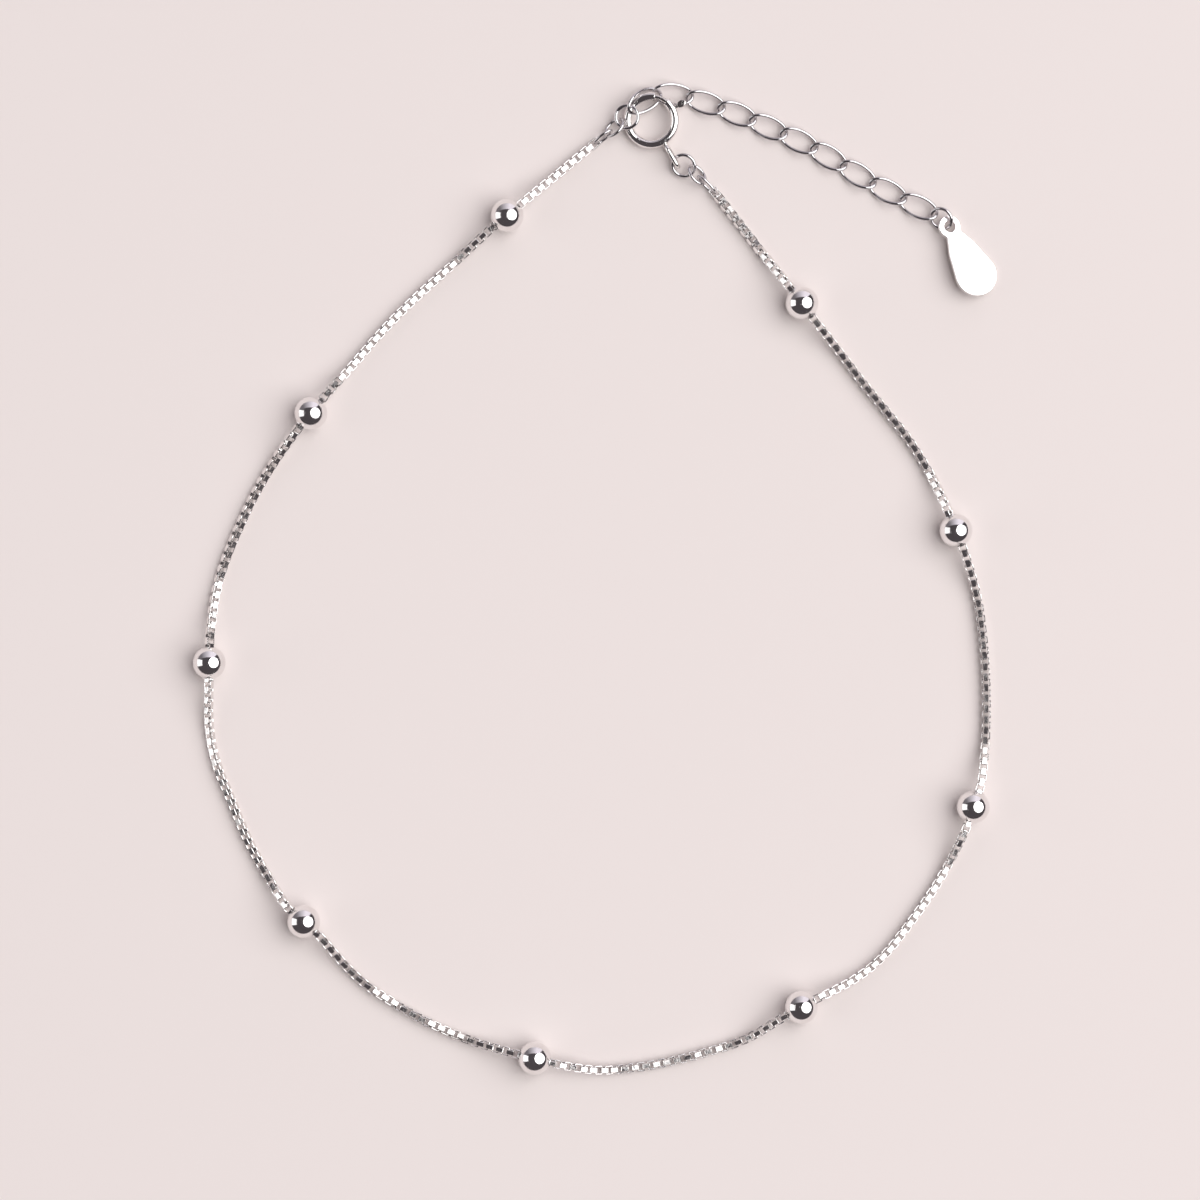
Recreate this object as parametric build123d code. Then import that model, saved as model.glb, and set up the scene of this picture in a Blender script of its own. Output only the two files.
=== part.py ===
from build123d import *

import math
import os
from dataclasses import dataclass

# Beaded anklet in silver, lying loose on a flat surface with its clasp closed.
# Millimetres. Origin: middle of the outline, on the surface. +Z up, +Y towards the clasp.
#
# Nine drilled balls sit 25 mm apart on a box chain. A spring ring closes the loop by
# hooking the first of ten extender links, and a teardrop tag ends the extender.

# ---------------------------------------------------------------- driving sizes
CHAIN_D = 0.95              # tube that a box chain 0.8 across its flats just fills
CHAIN_REST = 0.50           # height of the chain's middle where it lies on the surface
CHAIN_EYE_R = 0.38          # last link of the box chain, lying flat, middle of its wire
CHAIN_EYE_WIRE_R = 0.09
CHAIN_EYE_REACH = 0.40      # from the middle of the last link to the tube's end face

BEAD_D = 3.0
BEAD_BORE = 1.20
BEAD_STRAIGHT = 2.3         # the chain runs straight this far each side of a bead's middle
BEAD_WITH_JOIN = 5          # the two runs of chain meet in the middle of this bead

LINK_WIRE_R = 0.155         # extender links
LINK_HALF_LENGTH = 1.79
LINK_HALF_WIDTH = 0.915
LINK_TWIST = 0.26

CLASP_CENTRE = (4.99, 41.74, 0.88)
CLASP_TILT_X = 4.0          # degrees, turned first
CLASP_TILT_Y = -7.0         # degrees, turned second
CLASP_R = 2.165             # middle of the ring tube
CLASP_TUBE_R = 0.395
CLASP_BORE_R = 0.25
CLASP_GAP = (50.0, 81.0)    # opening of the ring, degrees from +X
CLASP_SLOT = (-15.5, 33.5)  # the knob's slot through the outer wall, degrees
CLASP_SLOT_WIDTH = 0.52

BOLT_R = 0.19
BOLT_ARC = (-24.0, 86.0)    # tail to tip when closed, degrees
KNOB_ANGLE = 28.0
KNOB_STEM_R = 0.16
KNOB_STEM_REACH = 2.90      # from the ring's centre to the stem's end inside the knob
KNOB_MIDDLE = 3.13          # from the ring's centre to the middle of the knob
KNOB_HALF_LENGTH = 0.47
KNOB_HALF_WIDTH = 0.34

EYE_ANGLE = -60.0           # where the eye is soldered on, degrees
EYE_WIRE_R = 0.21
EYE_HALF_HEIGHT = 0.54      # the eye stands across the ring
EYE_REACH = (2.64, 4.87)    # inner and outer middle of its wire, from the ring's centre

TAG_THICK = 0.40
TAG_HOLE_R = 0.53
TAG_RIM_R = 1.035
TAG_EDGE = 0.09             # rounding of the tag's two outlines
TAG_NECK_FILLET = 0.45

ARC_SHARE = 0.45            # share of the shorter run that an arc of the chain takes
LOOP_ARC_SHARE = 0.485      # the same on the oval rings, which are nearly all arc
LOOP_CORNERS = 12
LOOP_TWIST_REACH = 1.22     # corner points stand this much past the twist that they give


@dataclass
class Bead:
    """A ball on the chain: its middle in plan and the way the chain runs through it."""

    x: float
    y: float
    heading: float


@dataclass
class Ring:
    """A closed ring of round wire and how it lies.

    The long axis points along heading, raised by pitch, and the ring is rolled about it.
    """

    x: float
    y: float
    z: float
    heading: float
    pitch: float
    roll: float
    half_length: float
    half_width: float
    wire_r: float
    twist: float = 0.0


BEADS = [
    Bead(-8.11, 33.05, -140),
    Bead(-25.93, 15.08, -130),
    Bead(-35.15, -7.56, -91),
    Bead(-26.58, -31.06, -42),
    Bead(-5.60, -43.46, -14),
    Bead(18.59, -38.84, 29),
    Bead(34.19, -20.65, 71),
    Bead(32.63, 4.45, 112),
    Bead(18.65, 25.09, 127),
]

# Where the chain lies on the surface: one row for each stretch, from the left end, between
# the beads, to the right end. The first and last points are the middles of its end links.
CHAIN_LIES = [
    [(-0.14, 39.70), (-3.4, 37.0)],
    [(-12.5, 29.2), (-15.1, 26.9), (-17.6, 24.6), (-19.9, 22.2), (-22.1, 19.6)],
    [(-29.5, 10.5), (-31.2, 7.6), (-32.6, 4.6), (-33.9, 1.5), (-34.8, -1.7)],
    [(-35.3, -13.5), (-34.6, -16.9), (-33.2, -20.1), (-31.9, -23.4), (-30.2, -26.5)],
    [(-22.7, -35.3), (-20.2, -37.5), (-17.3, -39.2), (-14.4, -40.8), (-11.3, -42.0)],
    [(0.2, -44.7), (3.6, -44.4), (7.0, -43.8), (10.3, -42.9), (13.6, -41.9)],
    [(23.8, -36.2), (26.3, -34.1), (28.3, -31.5), (30.2, -28.9), (31.9, -26.1)],
    [(35.4, -14.9), (35.5, -11.4), (35.4, -8.0), (35.1, -4.5), (34.6, -1.1)],
    [(30.3, 9.8), (28.5, 12.7), (26.4, 15.3), (24.3, 17.8), (22.3, 20.5)],
    [(14.9, 29.9), (12.95, 32.45), (10.74, 35.24)],
]

# Round and oval rings about the clasp and at the tag.
RINGS = {
    "jump_ring_left": Ring(2.76, 42.01, 1.29, 111, -2, -14, 1.03, 1.03, 0.165),
    "end_ring_left": Ring(1.63, 41.08, 0.95, 39, 14, 130, 1.00, 0.86, 0.15),
    "end_link_left": Ring(0.60, 40.22, 0.65, 38, 16, 66, 0.98, 0.48, 0.13),
    "jump_ring_clasp": Ring(7.92, 37.63, 0.83, -64, -18, 22, 1.03, 1.03, 0.165),
    "end_ring_right": Ring(9.15, 36.81, 0.83, -53, 1, 130, 1.00, 0.86, 0.15),
    "end_link_right": Ring(10.02, 35.92, 0.64, -45, -13, 70, 1.06, 0.48, 0.13),
    "jump_ring_tag": Ring(31.35, 32.81, 0.82, -44, -1, 39, 1.00, 1.00, 0.16),
}

# Extender links in order from the clasp: x, y, z, heading, pitch, roll.
LINKS = [
    (4.32, 43.52, 0.98, 32, -23, 10),
    (6.96, 44.12, 0.54, -6, 0, 8),
    (9.91, 43.37, 0.54, -18, 0, 7),
    (12.76, 42.36, 0.52, -21, -1, 7),
    (15.61, 41.15, 0.54, -24, 1, 6),
    (18.41, 39.90, 0.52, -25, -1, 3),
    (21.11, 38.45, 0.48, -30, -1, 1),
    (23.78, 36.84, 0.48, -31, 0, 2),
    (26.51, 35.32, 0.52, -27, 2, 2),
    (29.29, 33.90, 0.62, -25, 3, 5),
]

# The tag lies with its hole at this point: x, y, z, heading, pitch, roll.
TAG_LIES = (32.07, 32.08, 0.78, -61, 0, -14)
# Circles down the tag's middle whose common outline is its drop: distance from hole, radius.
TAG_CIRCLES = [(0.90, 0.72), (2.70, 1.42), (5.00, 1.96)]


# ---------------------------------------------------------------- placing and paths
def lying(x, y, z, heading, pitch, roll):
    """Location with its X along the heading, raised by pitch and rolled about that axis."""
    psi, theta, phi = (math.radians(angle) for angle in (heading, pitch, roll))
    along = Vector(math.cos(psi) * math.cos(theta), math.sin(psi) * math.cos(theta), math.sin(theta))
    level = Vector(-math.sin(psi), math.cos(psi), 0)
    across = level * math.cos(phi) + along.cross(level) * math.sin(phi)
    return Plane(origin=(x, y, z), x_dir=along, z_dir=along.cross(across)).location


def corner_radii(points, share, closed=False):
    """Radius of the arc at each inner corner of a route, from its shorter run and its turn."""
    count = len(points)
    corners = range(count) if closed else range(1, count - 1)
    radii = []
    for index in corners:
        before, here, after = (Vector(*points[(index + step) % count]) for step in (-1, 0, 1))
        run_in = here - before
        run_out = after - here
        half_turn = math.radians(run_in.get_angle(run_out)) / 2
        radii.append(share * min(run_in.length, run_out.length) / math.tan(half_turn))
    return radii


def loop_path(half_length, half_width, twist):
    """Closed oval of tangent arcs, its opposite quarters bent up and down by the twist."""
    reach = 1 / math.cos(math.pi / LOOP_CORNERS)
    points = []
    for index in range(LOOP_CORNERS):
        turn = 2 * math.pi * (index + 0.5) / LOOP_CORNERS
        rise = -LOOP_TWIST_REACH * twist * math.sin(2 * turn)
        points.append((reach * half_length * math.cos(turn), reach * half_width * math.sin(turn), rise))
    return FilletPolyline(*points, radius=corner_radii(points, LOOP_ARC_SHARE, closed=True), close=True)


def tube_by_edges(edges, radius):
    """Round wire along a closed path: one exact piece for each line and arc, joined."""
    pieces = []
    for edge in edges:
        section = Plane(origin=edge @ 0, z_dir=edge % 0) * Circle(radius)
        pieces.append(sweep(section, path=edge))
    return pieces[0] + pieces[1:]


# ---------------------------------------------------------------- chain and beads
def beside_bead(bead, side):
    """Point of the chain's route on one side of a bead, at the height of the bead's bore."""
    angle = math.radians(bead.heading)
    reach = side * BEAD_STRAIGHT
    return (bead.x + reach * math.cos(angle), bead.y + reach * math.sin(angle), BEAD_D / 2)


def end_points(middle, towards):
    """Middle of a chain end's last link and the end of the tube beside it."""
    angle = math.atan2(towards[1] - middle[1], towards[0] - middle[0])
    tube_x = middle[0] + CHAIN_EYE_REACH * math.cos(angle)
    tube_y = middle[1] + CHAIN_EYE_REACH * math.sin(angle)
    return (*middle, CHAIN_REST), (tube_x, tube_y, CHAIN_REST)


def chain_route(stretches, beads):
    """Route of one run of chain through its beads: lying stretch, bead, lying stretch..."""
    route = []
    for stretch, bead in zip(stretches, beads):
        route += [(x, y, CHAIN_REST) for x, y in stretch]
        route += [beside_bead(bead, -1), beside_bead(bead, 1)]
    return route


def chain_run(name, route, eye_middle):
    """Tube that stands for one run of box chain, with the eye of its last link."""
    radii = corner_radii(route, ARC_SHARE)
    path = FilletPolyline(*route, radius=radii)
    tube = sweep(Plane(origin=path @ 0, z_dir=path % 0) * Circle(CHAIN_D / 2), path=path)
    section_area = math.pi * CHAIN_D**2 / 4
    print(name, "radii", [round(radius, 1) for radius in radii])
    print(name, "length", round(path.length, 2))
    print(name, "volume", round(tube.volume, 3), "section x length", round(section_area * path.length, 3))
    eye = Location(eye_middle) * Torus(CHAIN_EYE_R, CHAIN_EYE_WIRE_R)
    return tube + eye


def chain_runs():
    """The two runs of chain, which meet face to face in the middle of one bead."""
    join = BEAD_WITH_JOIN - 1
    join_bead = BEADS[join]
    join_point = (join_bead.x, join_bead.y, BEAD_D / 2)

    left_eye, left_end = end_points(CHAIN_LIES[0][0], CHAIN_LIES[0][1])
    left = chain_route(CHAIN_LIES[: join + 1], BEADS[: join + 1])
    left[0] = left_end
    left[-1] = join_point

    right_eye, right_end = end_points(CHAIN_LIES[-1][-1], CHAIN_LIES[-1][-2])
    right = [join_point, beside_bead(join_bead, 1)]
    right += chain_route(CHAIN_LIES[join + 1 : -1], BEADS[join + 1 :])
    right += [(x, y, CHAIN_REST) for x, y in CHAIN_LIES[-1][:-1]] + [right_end]
    return {
        "box_chain_left": chain_run("box_chain_left", left, left_eye),
        "box_chain_right": chain_run("box_chain_right", right, right_eye),
    }


def bead_solid(bead):
    """Polished ball drilled through for the chain."""
    bore = Rotation(0, 90, 0) * Cylinder(BEAD_BORE / 2, 2 * BEAD_D)
    return Location((bead.x, bead.y, BEAD_D / 2), (0, 0, bead.heading)) * (Sphere(BEAD_D / 2) - bore)


# ---------------------------------------------------------------- rings and links
def ring_solid(ring):
    """One jump ring, end ring or end link where it lies."""
    path = loop_path(ring.half_length, ring.half_width, ring.twist)
    wire = tube_by_edges(path.edges(), ring.wire_r)
    return lying(ring.x, ring.y, ring.z, ring.heading, ring.pitch, ring.roll) * wire


def extender_links():
    """Ten equal twisted links, each through the one before it."""
    path = loop_path(LINK_HALF_LENGTH, LINK_HALF_WIDTH, LINK_TWIST)
    wire = tube_by_edges(path.edges(), LINK_WIRE_R)
    links = {}
    for number, place in enumerate(LINKS, start=1):
        links[f"extender_link_{number:02d}"] = lying(*place) * wire
    return links


# ---------------------------------------------------------------- spring ring
def clasp_place():
    """Where the spring ring lies, propped on the first extender link and on its eye."""
    return Location(CLASP_CENTRE) * Rotation(0, CLASP_TILT_Y, 0) * Rotation(CLASP_TILT_X, 0, 0)


def ring_section(angle, section):
    """A flat section set square across the ring tube at an angle round the clasp."""
    turn = math.radians(angle)
    middle = (CLASP_R * math.cos(turn), CLASP_R * math.sin(turn), 0)
    return Plane(origin=middle, x_dir=(0, 0, 1), z_dir=(-math.sin(turn), math.cos(turn), 0)) * section


def round_the_ring(section, start, end):
    """The section carried round the clasp's centre from one angle to another."""
    return revolve(ring_section(start, section), Axis.Z, end - start)


def clasp_slot():
    """Cutter for the slot that the knob slides along, through the outer wall only."""
    depth = CLASP_TUBE_R
    outwards = (CLASP_BORE_R + CLASP_TUBE_R) / 2
    section = Location((0, outwards)) * Rectangle(CLASP_SLOT_WIDTH, depth)
    return round_the_ring(section, *CLASP_SLOT)


def clasp_eye():
    """Standing eye: two straight sides and two half rounds of wire."""
    inner, outer = EYE_REACH
    low = inner + EYE_HALF_HEIGHT
    high = outer - EYE_HALF_HEIGHT
    top = EYE_HALF_HEIGHT
    edges = [
        Line((low, 0, top), (high, 0, top)),
        ThreePointArc((high, 0, top), (outer, 0, 0), (high, 0, -top)),
        Line((high, 0, -top), (low, 0, -top)),
        ThreePointArc((low, 0, -top), (inner, 0, 0), (low, 0, top)),
    ]
    return Rotation(0, 0, EYE_ANGLE) * tube_by_edges(edges, EYE_WIRE_R)


def clasp_body():
    """Spring ring's body: an open ring of tube with the knob's slot and the soldered eye."""
    section = Circle(CLASP_TUBE_R) - Circle(CLASP_BORE_R)
    tube = round_the_ring(section, CLASP_GAP[1], CLASP_GAP[0] + 360)
    return clasp_place() * (tube - clasp_slot() + clasp_eye())


def clasp_bolt():
    """The bolt that slides round inside the tube, with its stem and oval finger knob."""
    rod = round_the_ring(Circle(BOLT_R), *BOLT_ARC)
    stem_length = KNOB_STEM_REACH - CLASP_R
    stem = Location((CLASP_R + stem_length / 2, 0, 0), (0, 90, 0)) * Cylinder(KNOB_STEM_R, stem_length)
    half_outline = Ellipse(KNOB_HALF_LENGTH, KNOB_HALF_WIDTH) & Location(
        (0, KNOB_HALF_WIDTH)
    ) * Rectangle(4 * KNOB_HALF_LENGTH, 2 * KNOB_HALF_WIDTH)
    knob = Location((KNOB_MIDDLE, 0, 0)) * revolve(half_outline, Axis.X)
    return clasp_place() * (rod + Rotation(0, 0, KNOB_ANGLE) * (stem + knob))


# ---------------------------------------------------------------- tag
def teardrop_tag():
    """Blank teardrop plate with a ring-shaped head round its hole."""
    circles = Sketch() + [Location((distance, 0)) * Circle(radius) for distance, radius in TAG_CIRCLES]
    drop = make_hull(circles.edges())
    outline = drop + Circle(TAG_RIM_R)
    neck = outline.vertices().filter_by_position(Axis.X, 0, TAG_CIRCLES[0][0])
    outline = fillet(neck, TAG_NECK_FILLET)
    plate = extrude(outline, TAG_THICK / 2, both=True)
    rims = plate.faces().sort_by(Axis.Z)[0].edges() + plate.faces().sort_by(Axis.Z)[-1].edges()
    plate = fillet(rims, TAG_EDGE)
    plate -= Cylinder(TAG_HOLE_R, 2 * TAG_THICK)
    return lying(*TAG_LIES) * plate


# ---------------------------------------------------------------- whole anklet
def anklet():
    """Every piece of the anklet by node name."""
    nodes = chain_runs()
    for number, bead in enumerate(BEADS, start=1):
        nodes[f"bead_{number}"] = bead_solid(bead)
    for name, ring in RINGS.items():
        nodes[name] = ring_solid(ring)
    nodes.update(extender_links())
    nodes["clasp_body"] = clasp_body()
    nodes["clasp_bolt"] = clasp_bolt()
    nodes["teardrop_tag"] = teardrop_tag()
    return nodes


os.makedirs("parts", exist_ok=True)
for node_name, solid in anklet().items():
    export_step(solid, f"parts/{node_name}.step")
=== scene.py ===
"""Beaded silver anklet: its looks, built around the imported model.

Blender works in metres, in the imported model's own frame. Sizes written here are in
millimetres, apart from the studio's large ones, and angles in degrees, apart from the turns
of hairlines. MM and math.radians turn them where they are used.
"""

from __future__ import annotations

import logging
import math
import random
import sys
from bisect import bisect_right
from dataclasses import dataclass
from enum import Enum

import bmesh
import bpy
from bmesh.types import BMEdge, BMesh, BMVert
from bpy.types import ID, Material, Mesh, Node, NodeSocket, NodeTree, Object
from mathutils import Matrix, Vector

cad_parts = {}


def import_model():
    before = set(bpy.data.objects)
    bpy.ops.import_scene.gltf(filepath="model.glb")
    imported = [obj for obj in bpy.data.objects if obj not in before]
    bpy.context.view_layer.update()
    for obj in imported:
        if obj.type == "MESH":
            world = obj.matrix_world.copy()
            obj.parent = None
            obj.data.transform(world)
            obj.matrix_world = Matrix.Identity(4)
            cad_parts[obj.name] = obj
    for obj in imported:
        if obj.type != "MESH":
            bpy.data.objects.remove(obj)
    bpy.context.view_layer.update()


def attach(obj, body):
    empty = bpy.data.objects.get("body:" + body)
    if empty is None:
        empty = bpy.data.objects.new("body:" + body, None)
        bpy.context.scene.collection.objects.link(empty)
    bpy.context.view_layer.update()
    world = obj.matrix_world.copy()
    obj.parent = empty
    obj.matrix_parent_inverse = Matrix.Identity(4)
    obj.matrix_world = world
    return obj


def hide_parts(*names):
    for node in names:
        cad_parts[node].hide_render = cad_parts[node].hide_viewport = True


MM = 0.001
UP = Vector((0, 0, 1))
MIDDLE = Vector((0, 0, 0))
FULL_TURN = 360
# Points of one mesh closer together than this are one point, in millimetres.
SAME_POINT = 1e-4
log = logging.getLogger("anklet")


class Body(Enum):
    """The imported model's bodies that pieces ride on."""

    ANKLET = "anklet"
    BOLT = "bolt"


class Slot(Enum):
    """The record's material slots."""

    BEAD = "bead"
    BOX_CHAIN = "box_chain"
    EXTENDER = "extender"
    RING = "ring"
    CLASP = "clasp"
    TAG = "tag"


# ---------------- colours and nodes
def linear(hex_colour: str) -> tuple[float, float, float, float]:
    """Turns an sRGB colour, "#RRGGBB", into the linear one with alpha that shaders take."""
    values = [int(hex_colour[start : start + 2], 16) / 255 for start in (1, 3, 5)]
    red, green, blue = (
        value / 12.92 if value <= 0.04045 else ((value + 0.055) / 1.055) ** 2.4 for value in values
    )
    return red, green, blue, 1.0


def add_node(
    tree: NodeTree, kind: str, settings: dict | None = None, links: dict | None = None
) -> Node:
    """Adds one node with its settings and its incoming links.

    Args:
        tree: node tree that the node goes into.
        kind: Blender's name of the node type.
        settings: values by property name, or by input name or number.
        links: output sockets by the name or number of the input that they feed.

    Returns:
        The new node.
    """
    node = tree.nodes.new(kind)
    for name, value in (settings or {}).items():
        if isinstance(name, str) and hasattr(node, name):
            setattr(node, name, value)
        else:
            node.inputs[name].default_value = value
    for name, socket in (links or {}).items():
        tree.links.new(socket, node.inputs[name])
    return node


def add_math(tree: NodeTree, operation: str, first: NodeSocket, second: NodeSocket) -> NodeSocket:
    """Adds a sum on two numbers, by Blender's name for it."""
    made = add_node(tree, "ShaderNodeMath", {"operation": operation}, {0: first, 1: second})
    return made.outputs[0]


def add_range(tree: NodeTree, value: NodeSocket, limits: dict) -> NodeSocket:
    """Maps a number from one range to another, 0 to 1 unless the limits name others."""
    return add_node(tree, "ShaderNodeMapRange", limits, {"Value": value}).outputs[0]


def add_mix(tree: NodeTree, first: str, second: str, share: NodeSocket) -> NodeSocket:
    """Adds a mix of two sRGB colours, where a share of 1 shows only the second."""
    settings = {"data_type": "RGBA", 6: linear(first), 7: linear(second)}
    return add_node(tree, "ShaderNodeMix", settings, {0: share}).outputs[2]


def add_noise(tree: NodeTree, place: NodeSocket, size_mm: float, detail: float) -> NodeSocket:
    """Adds noise around 0.5 with lumps of a size in millimetres."""
    settings = {"Scale": 1 / (size_mm * MM), "Detail": detail}
    return add_node(tree, "ShaderNodeTexNoise", settings, {"Vector": place}).outputs[0]


# ---------------- finishes
# The middle part of a noise, over which metal goes from clean to dulled.
CLEAN_BELOW = 0.35
DULLED_ABOVE = 0.7
# The high part of a stretched noise, where a hairline is cut.
HAIRLINE_STARTS = 0.62
HAIRLINE_DEEPEST = 0.7
# How the two sets of hairlines are turned and tipped, in radians.
HAIRLINE_TURNS = (0.5, 1.9)
HAIRLINE_TIP = 0.4


@dataclass(frozen=True)
class SilverFinish:
    """Sterling silver with one kind of polish.

    The patches are where handling has dulled the shine, the ripples are the soft waves that
    a polishing wheel or tumbling barrel leaves, and the hairlines are fine wear scratches.
    """

    name: str
    clean: str
    dulled: str
    most_dulled: float
    roughness: tuple[float, float]
    patch_mm: float
    ripple_mm: float
    hairline_mm: float
    ripple_depth_mm: float = 0.004
    hairline_depth_mm: float = 0.0012
    hairline_stretch: float = 14.0
    wear_attribute: str = ""

    def material(self) -> Material:
        """Builds the metal with its patches, ripples and hairlines."""
        material = bpy.data.materials.new(self.name)
        material.use_nodes = True
        tree = material.node_tree
        tree.nodes.clear()
        place = add_node(tree, "ShaderNodeTexCoord").outputs["Object"]
        patches = self.patches(tree, place)
        dulling = self.spread(tree, patches, 0.0, self.most_dulled)
        metal = add_node(
            tree,
            "ShaderNodeBsdfPrincipled",
            {"Metallic": 1.0},
            {
                "Base Color": add_mix(tree, self.clean, self.dulled, dulling),
                "Roughness": self.spread(tree, patches, *self.roughness),
                "Normal": self.relief(tree, place),
            },
        )
        add_node(tree, "ShaderNodeOutputMaterial", {}, {"Surface": metal.outputs["BSDF"]})
        return material

    def patches(self, tree: NodeTree, place: NodeSocket) -> NodeSocket:
        """Patches of dulled metal, shifted by each link's own wear where it has any.

        Args:
            tree: the material's node tree.
            place: object coordinates.

        Returns:
            The socket that carries the patches.
        """
        noise = add_noise(tree, place, self.patch_mm, detail=3.0)
        if not self.wear_attribute:
            return noise
        wear = add_node(tree, "ShaderNodeAttribute", {"attribute_name": self.wear_attribute})
        return add_math(tree, "ADD", noise, wear.outputs["Fac"])

    @staticmethod
    def spread(tree: NodeTree, value: NodeSocket, low: float, high: float) -> NodeSocket:
        """Spreads the middle of a noise over a range.

        Args:
            tree: the material's node tree.
            value: noise around 0.5.
            low: result where the noise is low.
            high: result where the noise is high.

        Returns:
            The socket that carries the result.
        """
        limits = {"From Min": CLEAN_BELOW, "From Max": DULLED_ABOVE, "To Min": low, "To Max": high}
        return add_range(tree, value, limits)

    def relief(self, tree: NodeTree, place: NodeSocket) -> NodeSocket:
        """Soft ripples with crossing hairlines on top.

        Args:
            tree: the material's node tree.
            place: object coordinates.

        Returns:
            The socket that carries the bumped normal.
        """
        ripple = add_noise(tree, place, self.ripple_mm, detail=1.0)
        bumped = add_node(
            tree, "ShaderNodeBump", {"Distance": self.ripple_depth_mm * MM}, {"Height": ripple}
        )
        drawn_out = (1.0, 1.0 / self.hairline_stretch, 1.0)
        for turn in HAIRLINE_TURNS:
            mapped = add_node(
                tree,
                "ShaderNodeMapping",
                {"Rotation": (turn, HAIRLINE_TIP, turn), "Scale": drawn_out},
                {"Vector": place},
            )
            streaks = add_noise(tree, mapped.outputs[0], self.hairline_mm, detail=2.0)
            grooves = add_range(
                tree, streaks, {"From Min": HAIRLINE_STARTS, "From Max": HAIRLINE_DEEPEST}
            )
            bumped = add_node(
                tree,
                "ShaderNodeBump",
                {"Distance": self.hairline_depth_mm * MM, "invert": True},
                {"Height": grooves, "Normal": bumped.outputs[0]},
            )
        return bumped.outputs[0]


# Barrel-polished balls: close to a mirror, so that the softboxes show with crisp edges.
BALL_SILVER = SilverFinish(
    name="barrel-polished silver ball",
    clean="#F6F4F4",
    dulled="#DCD6D2",
    most_dulled=0.35,
    roughness=(0.05, 0.12),
    patch_mm=1.1,
    ripple_mm=0.9,
    hairline_mm=0.1,
)
# Folded strip: bright flats with each link dulled a little differently, so that plates flash
# or go dark one by one.
STRIP_SILVER = SilverFinish(
    name="bright-rolled silver strip",
    clean="#F4F2F1",
    dulled="#C9C2BD",
    most_dulled=0.4,
    roughness=(0.07, 0.26),
    patch_mm=0.35,
    ripple_mm=0.45,
    hairline_mm=0.05,
    hairline_depth_mm=0.001,
    wear_attribute="link_wear",
)
# Drawn wire, soldered and tumbled: greyer than the rest, with a crisp bright line along it.
WIRE_SILVER = SilverFinish(
    name="tumbled silver wire",
    clean="#D2CFD1",
    dulled="#B2ADAC",
    most_dulled=0.25,
    roughness=(0.03, 0.07),
    patch_mm=0.8,
    ripple_mm=0.5,
    ripple_depth_mm=0.005,
    hairline_mm=0.07,
)
# Spring ring tube: buffed brighter than the wire, with worn patches.
TUBE_SILVER = SilverFinish(
    name="buffed silver tube",
    clean="#F5F3F2",
    dulled="#D2CBC6",
    most_dulled=0.4,
    roughness=(0.03, 0.09),
    patch_mm=1.0,
    ripple_mm=0.7,
    hairline_mm=0.08,
)
# Bolt: hard drawn wire that is handled most, so that its shine is broken by rubbing.
BOLT_SILVER = SilverFinish(
    name="rubbed silver bolt wire",
    clean="#EBE8E6",
    dulled="#A9A29D",
    most_dulled=0.5,
    roughness=(0.06, 0.16),
    patch_mm=0.5,
    ripple_mm=0.4,
    ripple_depth_mm=0.003,
    hairline_mm=0.05,
    hairline_depth_mm=0.0014,
)
# Tag: flat-lapped plate, a calm mirror with long faint hairlines.
PLATE_SILVER = SilverFinish(
    name="flat-lapped silver plate",
    clean="#F7F5F4",
    dulled="#DDD8D5",
    most_dulled=0.3,
    roughness=(0.05, 0.11),
    patch_mm=2.2,
    ripple_mm=3.0,
    ripple_depth_mm=0.01,
    hairline_mm=0.12,
    hairline_stretch=30.0,
)


# ---------------- places and pieces
def rotation(degrees: float, axis: str) -> Matrix:
    """Turn about an axis through the origin."""
    return Matrix.Rotation(math.radians(degrees), 4, axis)


@dataclass(frozen=True)
class Lie:
    """How a piece lies: its middle, its long axis's heading and pitch, and its roll."""

    x: float
    y: float
    z: float
    heading: float
    pitch: float = 0.0
    roll: float = 0.0

    def matrix(self) -> Matrix:
        """Matrix from millimetres at the origin to metres in place."""
        psi, theta, phi = (math.radians(angle) for angle in (self.heading, self.pitch, self.roll))
        level_part = math.cos(theta)
        along = Vector((math.cos(psi) * level_part, math.sin(psi) * level_part, math.sin(theta)))
        level = Vector((-math.sin(psi), math.cos(psi), 0.0))
        across = level * math.cos(phi) + along.cross(level) * math.sin(phi)
        turn = Matrix((along, across, along.cross(across))).transposed().to_4x4()
        middle = Vector((self.x, self.y, self.z)) * MM
        return Matrix.Translation(middle) @ turn @ Matrix.Scale(MM, 4)


def add_object(name: str, data: ID) -> Object:
    """Adds an object at the origin to the scene."""
    made = bpy.data.objects.new(name, data)
    bpy.context.scene.collection.objects.link(made)
    return made


def to_mesh(name: str, shape: BMesh) -> Mesh:
    """Turns a finished bmesh into a mesh and frees it."""
    mesh = bpy.data.meshes.new(name)
    shape.to_mesh(mesh)
    shape.free()
    return mesh


def add_piece(
    name: str,
    shape: BMesh,
    material: Material,
    replaced: str,
    body: Body = Body.ANKLET,
    crease: float = 40.0,
) -> Object:
    """Turns a finished bmesh in metres into a piece that rides on its body.

    Args:
        name: name of the piece.
        shape: the mesh in its final place, which is freed here.
        material: what it is dressed in.
        replaced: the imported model's node that the piece stands for.
        body: body that the piece rides on.
        crease: edges that turn more than this many degrees stay sharp.

    Returns:
        The new object.
    """
    mesh = to_mesh(name, shape)
    mesh.materials.append(material)
    mesh.shade_smooth()
    mesh.set_sharp_from_angle(angle=math.radians(crease))
    piece = add_object(name, mesh)
    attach(piece, body.value)
    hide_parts(replaced)
    log.info("%s: %d faces, stands for %s", name, len(mesh.polygons), replaced)
    return piece


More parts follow.
